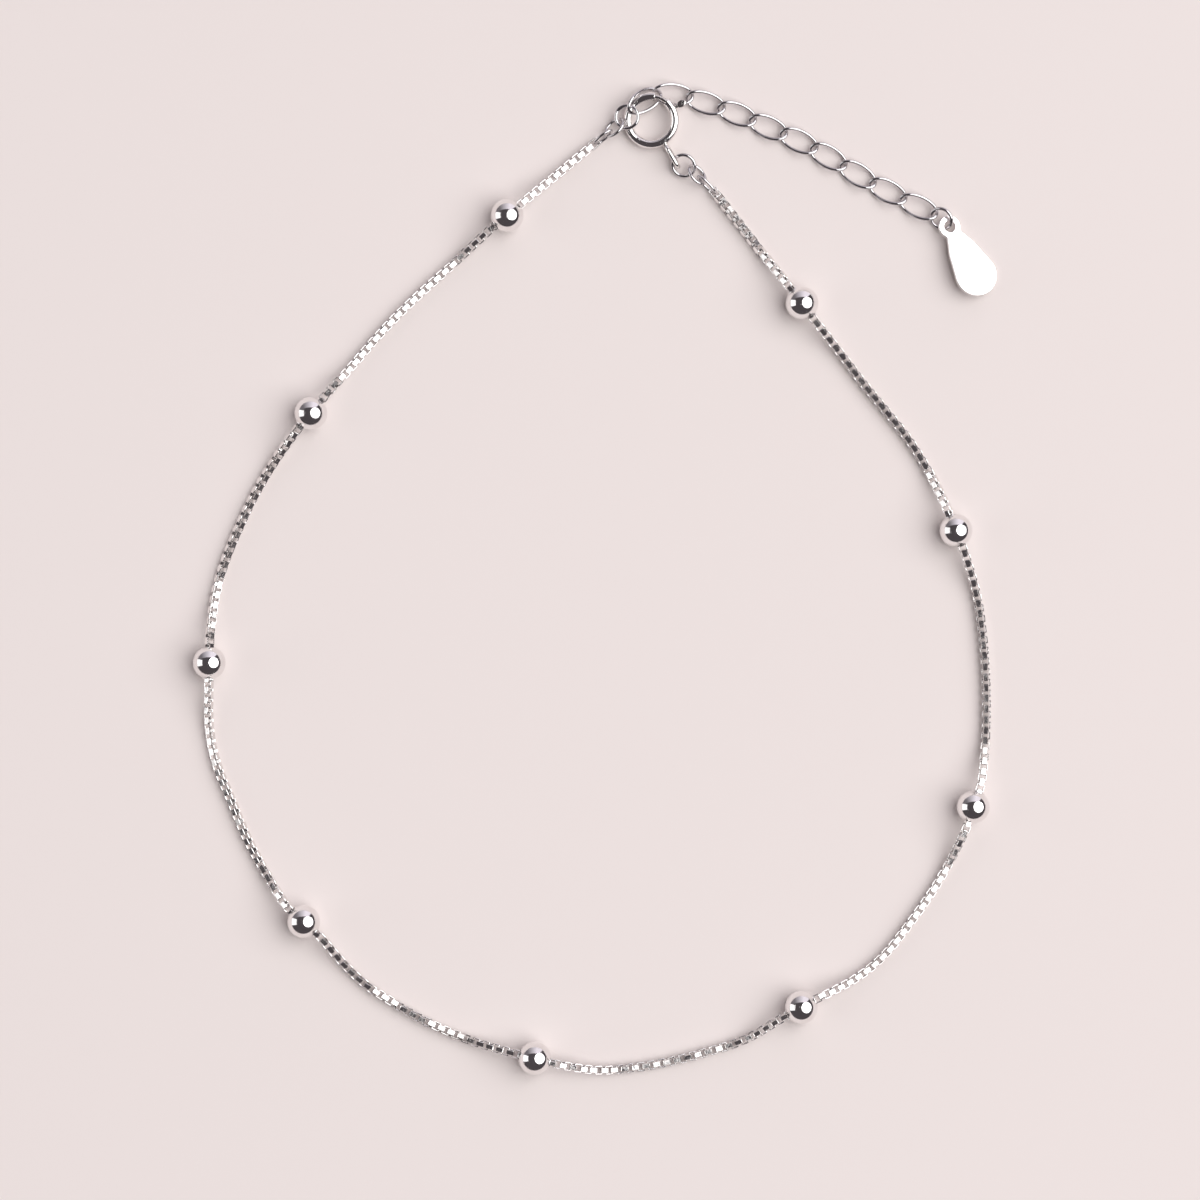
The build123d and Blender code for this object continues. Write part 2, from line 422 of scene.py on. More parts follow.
def keep_flats_flat(piece: Object) -> None:
    """Lets the large faces set the shading, so that flats stay flat between soft corners."""
    weighted = piece.modifiers.new("flats stay flat", "WEIGHTED_NORMAL")
    weighted.mode = "FACE_AREA"
    weighted.keep_sharp = True
    weighted.weight = 100


# ---------------- modelling steps
def edges_in(geom: list) -> list[BMEdge]:
    """The edges among the parts that an operator gives back."""
    return [part for part in geom if isinstance(part, BMEdge)]


def verts_in(geom: list) -> list[BMVert]:
    """The vertices among the parts that an operator gives back."""
    return [part for part in geom if isinstance(part, BMVert)]


def sharp_edges(shape: BMesh, over: float) -> list[BMEdge]:
    """The edges where the surface turns by more than so many degrees."""
    return [edge for edge in shape.edges if edge.calc_face_angle(0) > math.radians(over)]


def soften(shape: BMesh, edges: list[BMEdge], width: float, segments: int) -> None:
    """Bevels edges to a width on each side, in so many segments."""
    bmesh.ops.bevel(
        shape, geom=edges, offset=width, segments=segments, profile=0.5, affect="EDGES", material=-1
    )


def weld(shape: BMesh, distance: float = SAME_POINT) -> None:
    """Joins points that lie together."""
    bmesh.ops.remove_doubles(shape, verts=shape.verts, dist=distance)


def face_outwards(shape: BMesh) -> None:
    """Makes all faces look out of the solid."""
    bmesh.ops.recalc_face_normals(shape, faces=shape.faces)


def move(shape: BMesh, matrix: Matrix) -> None:
    """Moves the whole mesh."""
    bmesh.ops.transform(shape, matrix=matrix, verts=shape.verts)


def turn_about_z(shape: BMesh, degrees: float) -> None:
    """Turns the whole mesh about Z."""
    turn = Matrix.Rotation(math.radians(degrees), 3, "Z")
    bmesh.ops.rotate(shape, cent=MIDDLE, matrix=turn, verts=shape.verts)


def circle(
    shape: BMesh, radius: float, sides: int, middle: tuple[float, float, float], about: str
) -> list[BMEdge]:
    """Adds a circle stood up about the X or the Y axis and gives back its edges."""
    place = Matrix.Translation(middle) @ rotation(90, about)
    made = bmesh.ops.create_circle(shape, segments=sides, radius=radius, matrix=place)
    return list(dict.fromkeys(edge for vert in made["verts"] for edge in vert.link_edges))


def spun(
    shape: BMesh, geom: list, axis: Vector, centre: Vector, degrees: float, steps: int
) -> list:
    """Spins edges or points about an axis and gives back the last copy.

    Args:
        shape: bmesh that holds them.
        geom: what to spin.
        axis: direction of the axis.
        centre: a point on the axis.
        degrees: how far.
        steps: in how many steps.

    Returns:
        The edges and points at the end of the spin.
    """
    made = bmesh.ops.spin(
        shape,
        geom=geom,
        cent=centre,
        axis=axis,
        angle=math.radians(degrees),
        steps=steps,
        use_merge=degrees == FULL_TURN,
    )
    return made["geom_last"]


# ---------------- beads and chain
@dataclass(frozen=True)
class BeadPlace:
    """A ball's middle in plan and the way the chain runs through it."""

    x: float
    y: float
    heading: float


BEAD_PLACES = (
    BeadPlace(-8.11, 33.05, -140),
    BeadPlace(-25.93, 15.08, -130),
    BeadPlace(-35.15, -7.56, -91),
    BeadPlace(-26.58, -31.06, -42),
    BeadPlace(-5.6, -43.46, -14),
    BeadPlace(18.59, -38.84, 29),
    BeadPlace(34.19, -20.65, 71),
    BeadPlace(32.63, 4.45, 112),
    BeadPlace(18.65, 25.09, 127),
)
BEAD_WITH_JOIN = 5


@dataclass
class PolishedBall:
    """A drilled ball on the chain."""

    place: BeadPlace
    diameter: float = 3.0
    bore: float = 1.2
    mouth_bevel: float = 0.05
    mouth_steps: int = 3
    round_steps: int = 96
    arc_steps: int = 44

    def build(self, number: int, material: Material) -> Object:
        """Spins the ball's outline about its bore.

        Args:
            number: the ball's number from the chain's left end.
            material: what it is dressed in.

        Returns:
            The ball.
        """
        radius = self.diameter / 2
        mouth = math.degrees(math.asin(self.bore / self.diameter))
        shape = bmesh.new()
        first = shape.verts.new(rotation(-mouth, "Y") @ Vector((radius, 0, 0)))
        last = spun(shape, [first], Vector((0, -1, 0)), MIDDLE, 180 - 2 * mouth, self.arc_steps)
        shape.edges.new((first, last[0]))
        spun(shape, shape.edges[:], Vector((1, 0, 0)), MIDDLE, FULL_TURN, self.round_steps)
        weld(shape)
        soften(shape, sharp_edges(shape, over=35), self.mouth_bevel, self.mouth_steps)
        face_outwards(shape)
        move(shape, Lie(self.place.x, self.place.y, radius, self.place.heading).matrix())
        return add_piece(f"polished_ball_{number}", shape, material, f"bead_{number}")


@dataclass
class BoxChain:
    """Box chain: square bands of strip, each turned a quarter from the last.

    Where the chain lies is one row of points for each stretch between beads. How it lies is
    a list for each stretch of (share of the way along it, roll): a positive roll leans the
    upper plates to the left of the way from the clasp's left side round to its right.
    Restless is how many degrees the links of each stretch tip up and down, and unrolled how
    many degrees each link is off its stretch's roll.
    """

    across: float = 0.8
    link_length: float = 0.69
    strip: float = 0.1
    strip_width: float = 0.44
    corner: float = 0.06
    edge: float = 0.034
    advance: float = 0.485
    end_link_length: float = 0.98
    end_strip_width: float = 0.24
    end_link_back: float = 0.06
    end_link_step: float = 0.62
    rest_height: float = 0.5
    bead_height: float = 1.5
    bead_points: tuple[float, ...] = (-2.3, -1.5, 1.5, 2.3)
    spline_steps: int = 20
    unrolled: float = 0.9
    wear: float = 0.12
    end_link_wear: float = 0.1
    seed: int = 7
    lies: tuple[tuple[tuple[float, float], ...], ...] = (
        ((-0.14, 39.7), (-3.4, 37.0)),
        ((-12.5, 29.2), (-15.1, 26.9), (-17.6, 24.6), (-19.9, 22.2), (-22.1, 19.6)),
        ((-29.5, 10.5), (-31.2, 7.6), (-32.6, 4.6), (-33.9, 1.5), (-34.8, -1.7)),
        ((-35.3, -13.5), (-34.6, -16.9), (-33.2, -20.1), (-31.9, -23.4), (-30.2, -26.5)),
        ((-22.7, -35.3), (-20.2, -37.5), (-17.3, -39.2), (-14.4, -40.8), (-11.3, -42.0)),
        ((0.2, -44.7), (3.6, -44.4), (7.0, -43.8), (10.3, -42.9), (13.6, -41.9)),
        ((23.8, -36.2), (26.3, -34.1), (28.3, -31.5), (30.2, -28.9), (31.9, -26.1)),
        ((35.4, -14.9), (35.5, -11.4), (35.4, -8.0), (35.1, -4.5), (34.6, -1.1)),
        ((30.3, 9.8), (28.5, 12.7), (26.4, 15.3), (24.3, 17.8), (22.3, 20.5)),
        ((14.9, 29.9), (12.95, 32.45), (10.74, 35.24)),
    )
    rolls: tuple[tuple[tuple[float, float], ...], ...] = (
        ((0.0, 8), (1.0, 9)),
        ((0.0, -2), (0.2, -2), (0.24, 12), (0.82, 12), (0.85, -6)),
        ((0.0, 38), (0.1, 30), (0.22, 42), (0.66, 42), (0.7, 33), (0.87, 32), (0.91, 43)),
        (
            *((0.0, -37), (0.35, -35), (0.38, -29), (0.72, -28), (0.76, -12), (0.84, -12)),
            *((0.86, -24), (1.0, -22)),
        ),
        (
            *((0.0, -12), (0.36, -12), (0.38, 14), (0.45, 14), (0.47, -4)),
            *((0.58, -4), (0.6, 14), (0.72, 15), (0.77, -4)),
        ),
        ((0.0, -8), (0.15, -8), (0.17, -5), (0.3, -2), (0.4, 1), (1.0, 0)),
        ((0.0, 10), (0.088, 10), (0.092, -8), (0.72, -8), (0.78, -13), (1.0, -10)),
        ((0.0, -8), (0.165, -8), (0.175, 1), (0.23, 1), (0.24, 7), (0.7, 7), (0.77, 13)),
        ((0.0, 20), (0.07, 31), (0.225, 32), (0.235, 12), (0.7, 12), (0.78, 15)),
        ((0.0, 10), (0.12, 14), (0.18, 30), (0.43, 32), (0.52, 61), (1.0, 62)),
    )
    restless: tuple[float, ...] = (1.0, 1.2, 1.0, 1.0, 1.2, 4.0, 1.5, 1.0, 1.0, 1.0)

    def control_points(self) -> list[tuple[float, float, float]]:
        """Points of the chain's route from end to end, up into each bead and down again."""
        points = []
        for number, stretch in enumerate(self.lies):
            points += [(x, y, self.rest_height) for x, y in stretch]
            if number < len(BEAD_PLACES):
                bead = BEAD_PLACES[number]
                angle = math.radians(bead.heading)
                cos, sin = math.cos(angle), math.sin(angle)
                points += [
                    (bead.x + reach * cos, bead.y + reach * sin, self.bead_height)
                    for reach in self.bead_points
                ]
        return points

    def course(self) -> tuple[list[Vector], list[float]]:
        """Follows the route's smooth spline.

        Returns:
            Points along the spline and the length run at each, in millimetres.
        """
        curve = bpy.data.curves.new("chain_route", "CURVE")
        curve.dimensions = "3D"
        curve.resolution_u = self.spline_steps
        points = self.control_points()
        spline = curve.splines.new("NURBS")
        spline.points.add(len(points) - 1)
        for point, place in zip(spline.points, points):
            point.co = (*place, 1.0)
        spline.order_u = 3
        spline.use_endpoint_u = True
        route = add_object("chain_route", curve)
        bpy.context.view_layer.update()
        line = bpy.data.meshes.new_from_object(route)
        places = [vert.co.copy() for vert in line.vertices]
        bpy.data.objects.remove(route)
        bpy.data.curves.remove(curve)
        bpy.data.meshes.remove(line)
        run = [0.0]
        for before, after in zip(places, places[1:]):
            run.append(run[-1] + (after - before).length)
        return places, run

    def band(self, length: float, width: float) -> Mesh:
        """One square band of strip, its hole along Z and its length along X.

        Args:
            length: outer length along the chain.
            width: width of the strip.

        Returns:
            Mesh in millimetres at the origin.
        """
        shape = bmesh.new()
        bmesh.ops.create_cube(shape, size=1.0)
        bmesh.ops.scale(shape, vec=(length, self.across, width), verts=shape.verts)
        ends = [face for face in shape.faces if abs(face.normal.z) > 0.5]
        bmesh.ops.delete(shape, geom=ends, context="FACES_ONLY")
        folds = [edge for edge in shape.edges if len(edge.link_faces) == 2]
        soften(shape, folds, self.corner, segments=1)
        face_outwards(shape)
        bmesh.ops.solidify(shape, geom=shape.faces[:], thickness=self.strip)
        face_outwards(shape)
        soften(shape, [edge for edge in shape.edges if self.is_rim(edge)], self.edge, segments=1)
        mesh = to_mesh("band", shape)
        mesh.shade_smooth()
        mesh.attributes.new("link_wear", "FLOAT", "POINT")
        return mesh

    @staticmethod
    def is_rim(edge: BMEdge) -> bool:
        """Tells whether an edge lies between a side of the strip and its cut edge."""
        cut = [abs(face.normal.z) > 0.9 for face in edge.link_faces]
        return any(cut) and not all(cut)

    def build(self, material: Material) -> list[Object]:
        """Lays every link along the route, in two pieces that meet inside one bead.

        Args:
            material: what the links are dressed in.

        Returns:
            The two runs of chain.
        """
        places, run = self.course()
        bead_runs = [self.run_at(bead, places, run) for bead in BEAD_PLACES]
        marks = [0.0, *bead_runs, run[-1]]
        first = self.end_link_back + self.end_link_step
        last = run[-1] - first
        steps = round((last - first) / self.advance)
        steps -= steps % 2
        spots = [first + (last - first) * number / steps for number in range(steps + 1)]
        chance = random.Random(self.seed)
        band = self.band(self.link_length, self.strip_width)
        end_band = self.band(self.end_link_length, self.end_strip_width)
        runs = {"left": bmesh.new(), "right": bmesh.new()}
        for number, spot in enumerate(spots):
            side = "left" if spot < bead_runs[BEAD_WITH_JOIN - 1] else "right"
            roll = self.roll_at(spot, marks) + 90 * (number % 2) + chance.gauss(0, self.unrolled)
            pitch = chance.gauss(0, self.restless[self.stretch_at(spot, marks)])
            wear = chance.uniform(-self.wear, self.wear)
            self.lay(runs[side], band, self.link_place(spot, roll, pitch, places, run), wear)
        for side, spot in (("left", self.end_link_back), ("right", run[-1] - self.end_link_back)):
            standing = self.link_place(spot, 90.0, 0.0, places, run)
            self.lay(runs[side], end_band, standing, self.end_link_wear)
        bpy.data.meshes.remove(band)
        bpy.data.meshes.remove(end_band)
        pieces = []
        for side, shape in runs.items():
            move(shape, Matrix.Scale(MM, 4))
            name, node = f"box_links_{side}", f"box_chain_{side}"
            piece = add_piece(name, shape, material, node)
            keep_flats_flat(piece)
            pieces.append(piece)
        log.info("box chain: %d links over %.1f mm", len(spots) + 2, run[-1])
        return pieces

    @staticmethod
    def lay(shape: BMesh, band: Mesh, place: Matrix, wear: float) -> None:
        """Adds one link to a run.

        Args:
            shape: the run.
            band: the link's mesh at the origin.
            place: where it goes.
            wear: how much more or less it is dulled than the others.
        """
        link = band.copy()
        link.transform(place)
        link.attributes["link_wear"].data.foreach_set("value", [wear] * len(link.vertices))
        shape.from_mesh(link)
        bpy.data.meshes.remove(link)

    @staticmethod
    def run_at(bead: BeadPlace, places: list[Vector], run: list[float]) -> float:
        """Length of chain from its left end to a bead's middle."""
        middle = Vector((bead.x, bead.y))
        nearest = min(range(len(places)), key=lambda index: (places[index].xy - middle).length)
        return run[nearest]

    @staticmethod
    def stretch_at(spot: float, marks: list[float]) -> int:
        """Which stretch between beads a length along the chain falls in."""
        return min(bisect_right(marks, spot), len(marks) - 1) - 1

    def roll_at(self, spot: float, marks: list[float]) -> float:
        """Roll of the chain at a length along it.

        Args:
            spot: length from the left end.
            marks: lengths at the left end, at each bead and at the right end.

        Returns:
            Roll in degrees.
        """
        stretch = self.stretch_at(spot, marks)
        share = (spot - marks[stretch]) / (marks[stretch + 1] - marks[stretch])
        rolls = self.rolls[stretch]
        for (share_0, roll_0), (share_1, roll_1) in zip(rolls, rolls[1:]):
            if share <= share_1:
                return roll_0 + (roll_1 - roll_0) * (share - share_0) / (share_1 - share_0)
        return rolls[-1][1]

    @staticmethod
    def link_place(
        spot: float, roll: float, pitch: float, places: list[Vector], run: list[float]
    ) -> Matrix:
        """Where a link goes: on the route, along it, rolled and tipped.

        Args:
            spot: length from the left end.
            roll: lean of the upper plate to the left.
            pitch: tip of the link along the chain.
            places: points along the route.
            run: length at each of them.

        Returns:
            Matrix for a link made at the origin, whose Y side plates then face up at no roll.
        """
        index = min(max(bisect_right(run, spot), 1), len(run) - 1)
        share = (spot - run[index - 1]) / (run[index] - run[index - 1])
        middle = places[index - 1].lerp(places[index], share)
        before = places[max(index - 2, 0)]
        after = places[min(index + 1, len(places) - 1)]
        along = (after - before).normalized()
        left = UP.cross(along).normalized()
        up = along.cross(left)
        frame = Matrix((along, left, up)).transposed().to_4x4()
        turn = rotation(90 - roll, "X") @ rotation(pitch, "Z")
        return Matrix.Translation(middle) @ frame @ turn


# ---------------- rings and links
@dataclass
class WireRing:
    """A closed ring of round wire, round or oval, flat or twisted."""

    lie: Lie
    half_length: float
    half_width: float
    wire_r: float
    twist: float = 0.0
    sides: int = 20
    steps: int = 72

    def shape(self) -> BMesh:
        """Spins a round ring and bends it to this ring's outline, in metres and in place."""
        shape = bmesh.new()
        section = circle(shape, self.wire_r, self.sides, (1.0, 0, 0), "X")
        spun(shape, section, UP, MIDDLE, FULL_TURN, self.steps)
        weld(shape)
        for vert in shape.verts:
            vert.co = self.bent(vert.co)
        face_outwards(shape)
        move(shape, self.lie.matrix())
        return shape

    def bent(self, point: Vector) -> Vector:
        """Moves a point of the round ring onto the oval one.

        Args:
            point: point of a ring whose wire runs at 1 mm from Z.

        Returns:
            The same point of this ring's wire.
        """
        turn = math.atan2(point.y, point.x)
        out = math.hypot(point.x, point.y) - 1.0
        cos, sin = math.cos(turn), math.sin(turn)
        long, wide, twist = self.half_length, self.half_width, self.twist
        middle = Vector((long * cos, wide * sin, -twist * math.sin(2 * turn)))
        along = Vector((-long * sin, wide * cos, -2 * twist * math.cos(2 * turn))).normalized()
        side = along.cross(UP).normalized()
        return middle + side * out + side.cross(along) * point.z


@dataclass
class Rings:
    """Jump rings, end rings and end links about the clasp and at the tag."""

    rings: tuple[tuple[str, WireRing], ...] = (
        ("jump_ring_left", WireRing(Lie(2.76, 42.01, 1.29, 111, -2, -14), 1.03, 1.03, 0.165)),
        ("end_ring_left", WireRing(Lie(1.63, 41.08, 0.95, 39, 14, 130), 1.0, 0.86, 0.15)),
        ("end_link_left", WireRing(Lie(0.6, 40.22, 0.65, 38, 16, 66), 0.98, 0.48, 0.13)),
        ("jump_ring_clasp", WireRing(Lie(7.92, 37.63, 0.83, -64, -18, 22), 1.03, 1.03, 0.165)),
        ("end_ring_right", WireRing(Lie(9.15, 36.81, 0.83, -53, 1, 130), 1.0, 0.86, 0.15)),
        ("end_link_right", WireRing(Lie(10.02, 35.92, 0.64, -45, -13, 70), 1.06, 0.48, 0.13)),
        ("jump_ring_tag", WireRing(Lie(31.35, 32.81, 0.82, -44, -1, 39), 1.0, 1.0, 0.16)),
    )

    def build(self, material: Material) -> list[Object]:
        """Builds each ring in its place."""
        return [
            add_piece(f"wire_{name}", ring.shape(), material, name)
            for name, ring in self.rings
        ]


@dataclass
class Extender:
    """Ten equal twisted oval links, each through the one before it."""

    half_length: float = 1.79
    half_width: float = 0.915
    wire_r: float = 0.155
    twist: float = 0.275
    steps: int = 96
    lies: tuple[Lie, ...] = (
        Lie(4.32, 43.52, 0.98, 32, -23, 10),
        Lie(6.96, 44.12, 0.54, -6, 0, 8),
        Lie(9.91, 43.37, 0.54, -18, 0, 7),
        Lie(12.76, 42.36, 0.52, -21, -1, 7),
        Lie(15.61, 41.15, 0.54, -24, 1, 6),
        Lie(18.41, 39.9, 0.52, -25, -1, 3),
        Lie(21.11, 38.45, 0.48, -30, -1, 1),
        Lie(23.78, 36.84, 0.48, -31, 0, 2),
        Lie(26.51, 35.32, 0.52, -27, 2, 2),
        Lie(29.29, 33.9, 0.62, -25, 3, 5),
    )

    def build(self, material: Material) -> list[Object]:
        """Builds the ten links in order from the clasp."""
        pieces = []
        for number, lie in enumerate(self.lies, start=1):
            long, wide = self.half_length, self.half_width
            ring = WireRing(lie, long, wide, self.wire_r, self.twist, steps=self.steps)
            node = f"extender_link_{number:02d}"
            pieces.append(add_piece(f"wire_{node}", ring.shape(), material, node))
        return pieces


# ---------------- spring ring
@dataclass
class SpringRing:
    """Spring ring: an open ring of tube, its soldered eye and the bolt that slides in it."""

    middle: tuple[float, float, float] = (4.99, 41.74, 0.88)
    tilt_x: float = 4.0
    tilt_y: float = -7.0
    ring_r: float = 2.165
    tube_r: float = 0.395
    bore_r: float = 0.25
    gap: tuple[float, float] = (50.0, 81.0)
    slot: tuple[float, float] = (-15.5, 33.5)
    slot_half_angle: float = 40.0
    rim_bevel: float = 0.02
    tube_sides: int = 36
    tube_steps: tuple[int, int, int] = (110, 20, 8)
    eye_angle: float = -60.0
    eye_wire_r: float = 0.21
    eye_half_height: float = 0.54
    eye_reach: tuple[float, float] = (2.64, 4.87)
    eye_sides: int = 20
    eye_steps: int = 16
    eye_same_point: float = 1e-3
    bolt_r: float = 0.19
    bolt_arc: tuple[float, float] = (-24.0, 86.0)
    bolt_bevel: float = 0.05
    bolt_sides: int = 20
    bolt_steps: int = 56
    knob_angle: float = 28.0
    knob_middle: float = 3.13
    knob_half_length: float = 0.47
    knob_half_width: float = 0.34
    knob_sides: tuple[int, int] = (48, 32)
    knob_flat_height: float = 0.17
    knob_flat_edge: float = 0.05
    stem_r: float = 0.16
    stem_sides: int = 24

    def place(self) -> Matrix:
        """Matrix from millimetres at the origin to metres in place."""
        tilt = rotation(self.tilt_y, "Y") @ rotation(self.tilt_x, "X")
        return Matrix.Translation(Vector(self.middle) * MM) @ tilt @ Matrix.Scale(MM, 4)

    def build(self, tube: Material, bolt: Material) -> list[Object]:
        """Builds the tube with its eye, and the bolt.

        Args:
            tube: what the tube and the eye are dressed in.
            bolt: what the bolt is dressed in.

        Returns:
            The two pieces.
        """
        body = self.tube_shape()
        eye = to_mesh("eye", self.eye_shape())
        body.from_mesh(eye)
        bpy.data.meshes.remove(eye)
        move(body, self.place())
        ring = add_piece("spring_ring_tube", body, tube, "clasp_body")
        rod = self.bolt_shape()
        move(rod, self.place())
        slider = add_piece("spring_ring_bolt", rod, bolt, "clasp_bolt", Body.BOLT)
        keep_flats_flat(slider)
        return [ring, slider]

    def tube_shape(self) -> BMesh:
        """Ring tube with its wall, its gap and the knob's slot."""
        shape = bmesh.new()
        last = circle(shape, self.tube_r, self.tube_sides, (self.ring_r, 0, 0), "X")
        turn_about_z(shape, self.gap[1])
        sweeps = (
            self.slot[0] + FULL_TURN - self.gap[1],
            self.slot[1] - self.slot[0],
            self.gap[0] - self.slot[1],
        )
        for degrees, steps in zip(sweeps, self.tube_steps):
            last = spun(shape, edges_in(last), UP, MIDDLE, degrees, steps)
        weld(shape)
        face_outwards(shape)
        opened = [face for face in shape.faces if self.in_slot(face.calc_center_median())]
        bmesh.ops.delete(shape, geom=opened, context="FACES")
        if self.faces_inwards(shape):
            bmesh.ops.reverse_faces(shape, faces=shape.faces)
        bmesh.ops.solidify(shape, geom=shape.faces[:], thickness=self.tube_r - self.bore_r)
        face_outwards(shape)
        soften(shape, sharp_edges(shape, over=50), self.rim_bevel, segments=2)
        return shape

    def in_slot(self, point: Vector) -> bool:
        """Tells whether a point of the tube's wall is where the knob's slot is cut."""
        turn = math.degrees(math.atan2(point.y, point.x))
        out = math.hypot(point.x, point.y) - self.ring_r
        round_tube = math.degrees(math.atan2(abs(point.z), out))
        return self.slot[0] < turn < self.slot[1] and round_tube < self.slot_half_angle

    def faces_inwards(self, shape: BMesh) -> bool:
        """Tells whether the open shell's faces look into the tube."""
        shape.faces.ensure_lookup_table()
        face = shape.faces[0]
        centre = face.calc_center_median()
        middle = Vector((centre.x, centre.y, 0)).normalized() * self.ring_r
        return face.normal.dot(centre - middle) < 0

    def eye_shape(self) -> BMesh:
        """Standing eye: two straight sides and two half rounds of wire."""
        inner, outer = self.eye_reach
        low = inner + self.eye_half_height
        high = outer - self.eye_half_height
        shape = bmesh.new()
        edges = circle(shape, self.eye_wire_r, self.eye_sides, (low, 0, self.eye_half_height), "Y")
        for run, middle in ((high - low, high), (low - high, low)):
            grown = bmesh.ops.extrude_edge_only(shape, edges=edges)["geom"]
            verts = verts_in(grown)
            edges = [edge for edge in edges_in(grown) if all(vert in verts for vert in edge.verts)]
            bmesh.ops.translate(shape, vec=(run, 0, 0), verts=verts)
            centre = Vector((middle, 0, 0))
            last = spun(shape, edges, Vector((0, 1, 0)), centre, 180, self.eye_steps)
            edges = edges_in(last)
        weld(shape, self.eye_same_point)
        face_outwards(shape)
        turn_about_z(shape, self.eye_angle)
        return shape

    def bolt_shape(self) -> BMesh:
        """Sliding rod with its stem and its oval finger knob."""
        shape = bmesh.new()
        section = circle(shape, self.bolt_r, self.bolt_sides, (self.ring_r, 0, 0), "X")
        turn_about_z(shape, self.bolt_arc[0])
        spun(shape, section, UP, MIDDLE, self.bolt_arc[1] - self.bolt_arc[0], self.bolt_steps)
        weld(shape)
        ends = [edge for edge in shape.edges if edge.is_boundary]
        bmesh.ops.holes_fill(shape, edges=ends, sides=0)
        soften(shape, sharp_edges(shape, over=50), self.bolt_bevel, segments=3)
        turn = rotation(self.knob_angle, "Z")
        outwards = rotation(90, "Y")
        length = self.knob_middle - self.ring_r
        half_way = Matrix.Translation((self.ring_r + length / 2, 0, 0))
        bmesh.ops.create_cone(
            shape,
            cap_ends=True,
            segments=self.stem_sides,
            radius1=self.stem_r,
            radius2=self.stem_r,
            depth=length,
            matrix=turn @ (half_way @ outwards),
        )
        long, wide = self.knob_half_length, self.knob_half_width
        oval = Matrix.Diagonal((long, wide, wide, 1))
        place = turn @ Matrix.Translation((self.knob_middle, 0, 0)) @ oval @ outwards
        around, along = self.knob_sides
        knob = bmesh.ops.create_uvsphere(
            shape, u_segments=around, v_segments=along, radius=1.0, matrix=place
        )
        self.press_flat(shape, knob["verts"])
        face_outwards(shape)
        return shape

    def press_flat(self, shape: BMesh, verts: list[BMVert]) -> None:
        """Presses a flat for the fingernail into the knob's top.

        Args:
            shape: bmesh that holds the knob.
            verts: the knob's own vertices.
        """
        edges = dict.fromkeys(edge for vert in verts for edge in vert.link_edges)
        faces = dict.fromkeys(face for vert in verts for face in vert.link_faces)
        cut = bmesh.ops.bisect_plane(
            shape,
            geom=[*verts, *edges, *faces],
            dist=SAME_POINT / 10,
            plane_co=(0, 0, self.knob_flat_height),
            plane_no=UP,
            clear_outer=True,
        )
        rim = edges_in(cut["geom_cut"])
        bmesh.ops.holes_fill(shape, edges=rim, sides=0)
        soften(shape, rim, self.knob_flat_edge, segments=4)


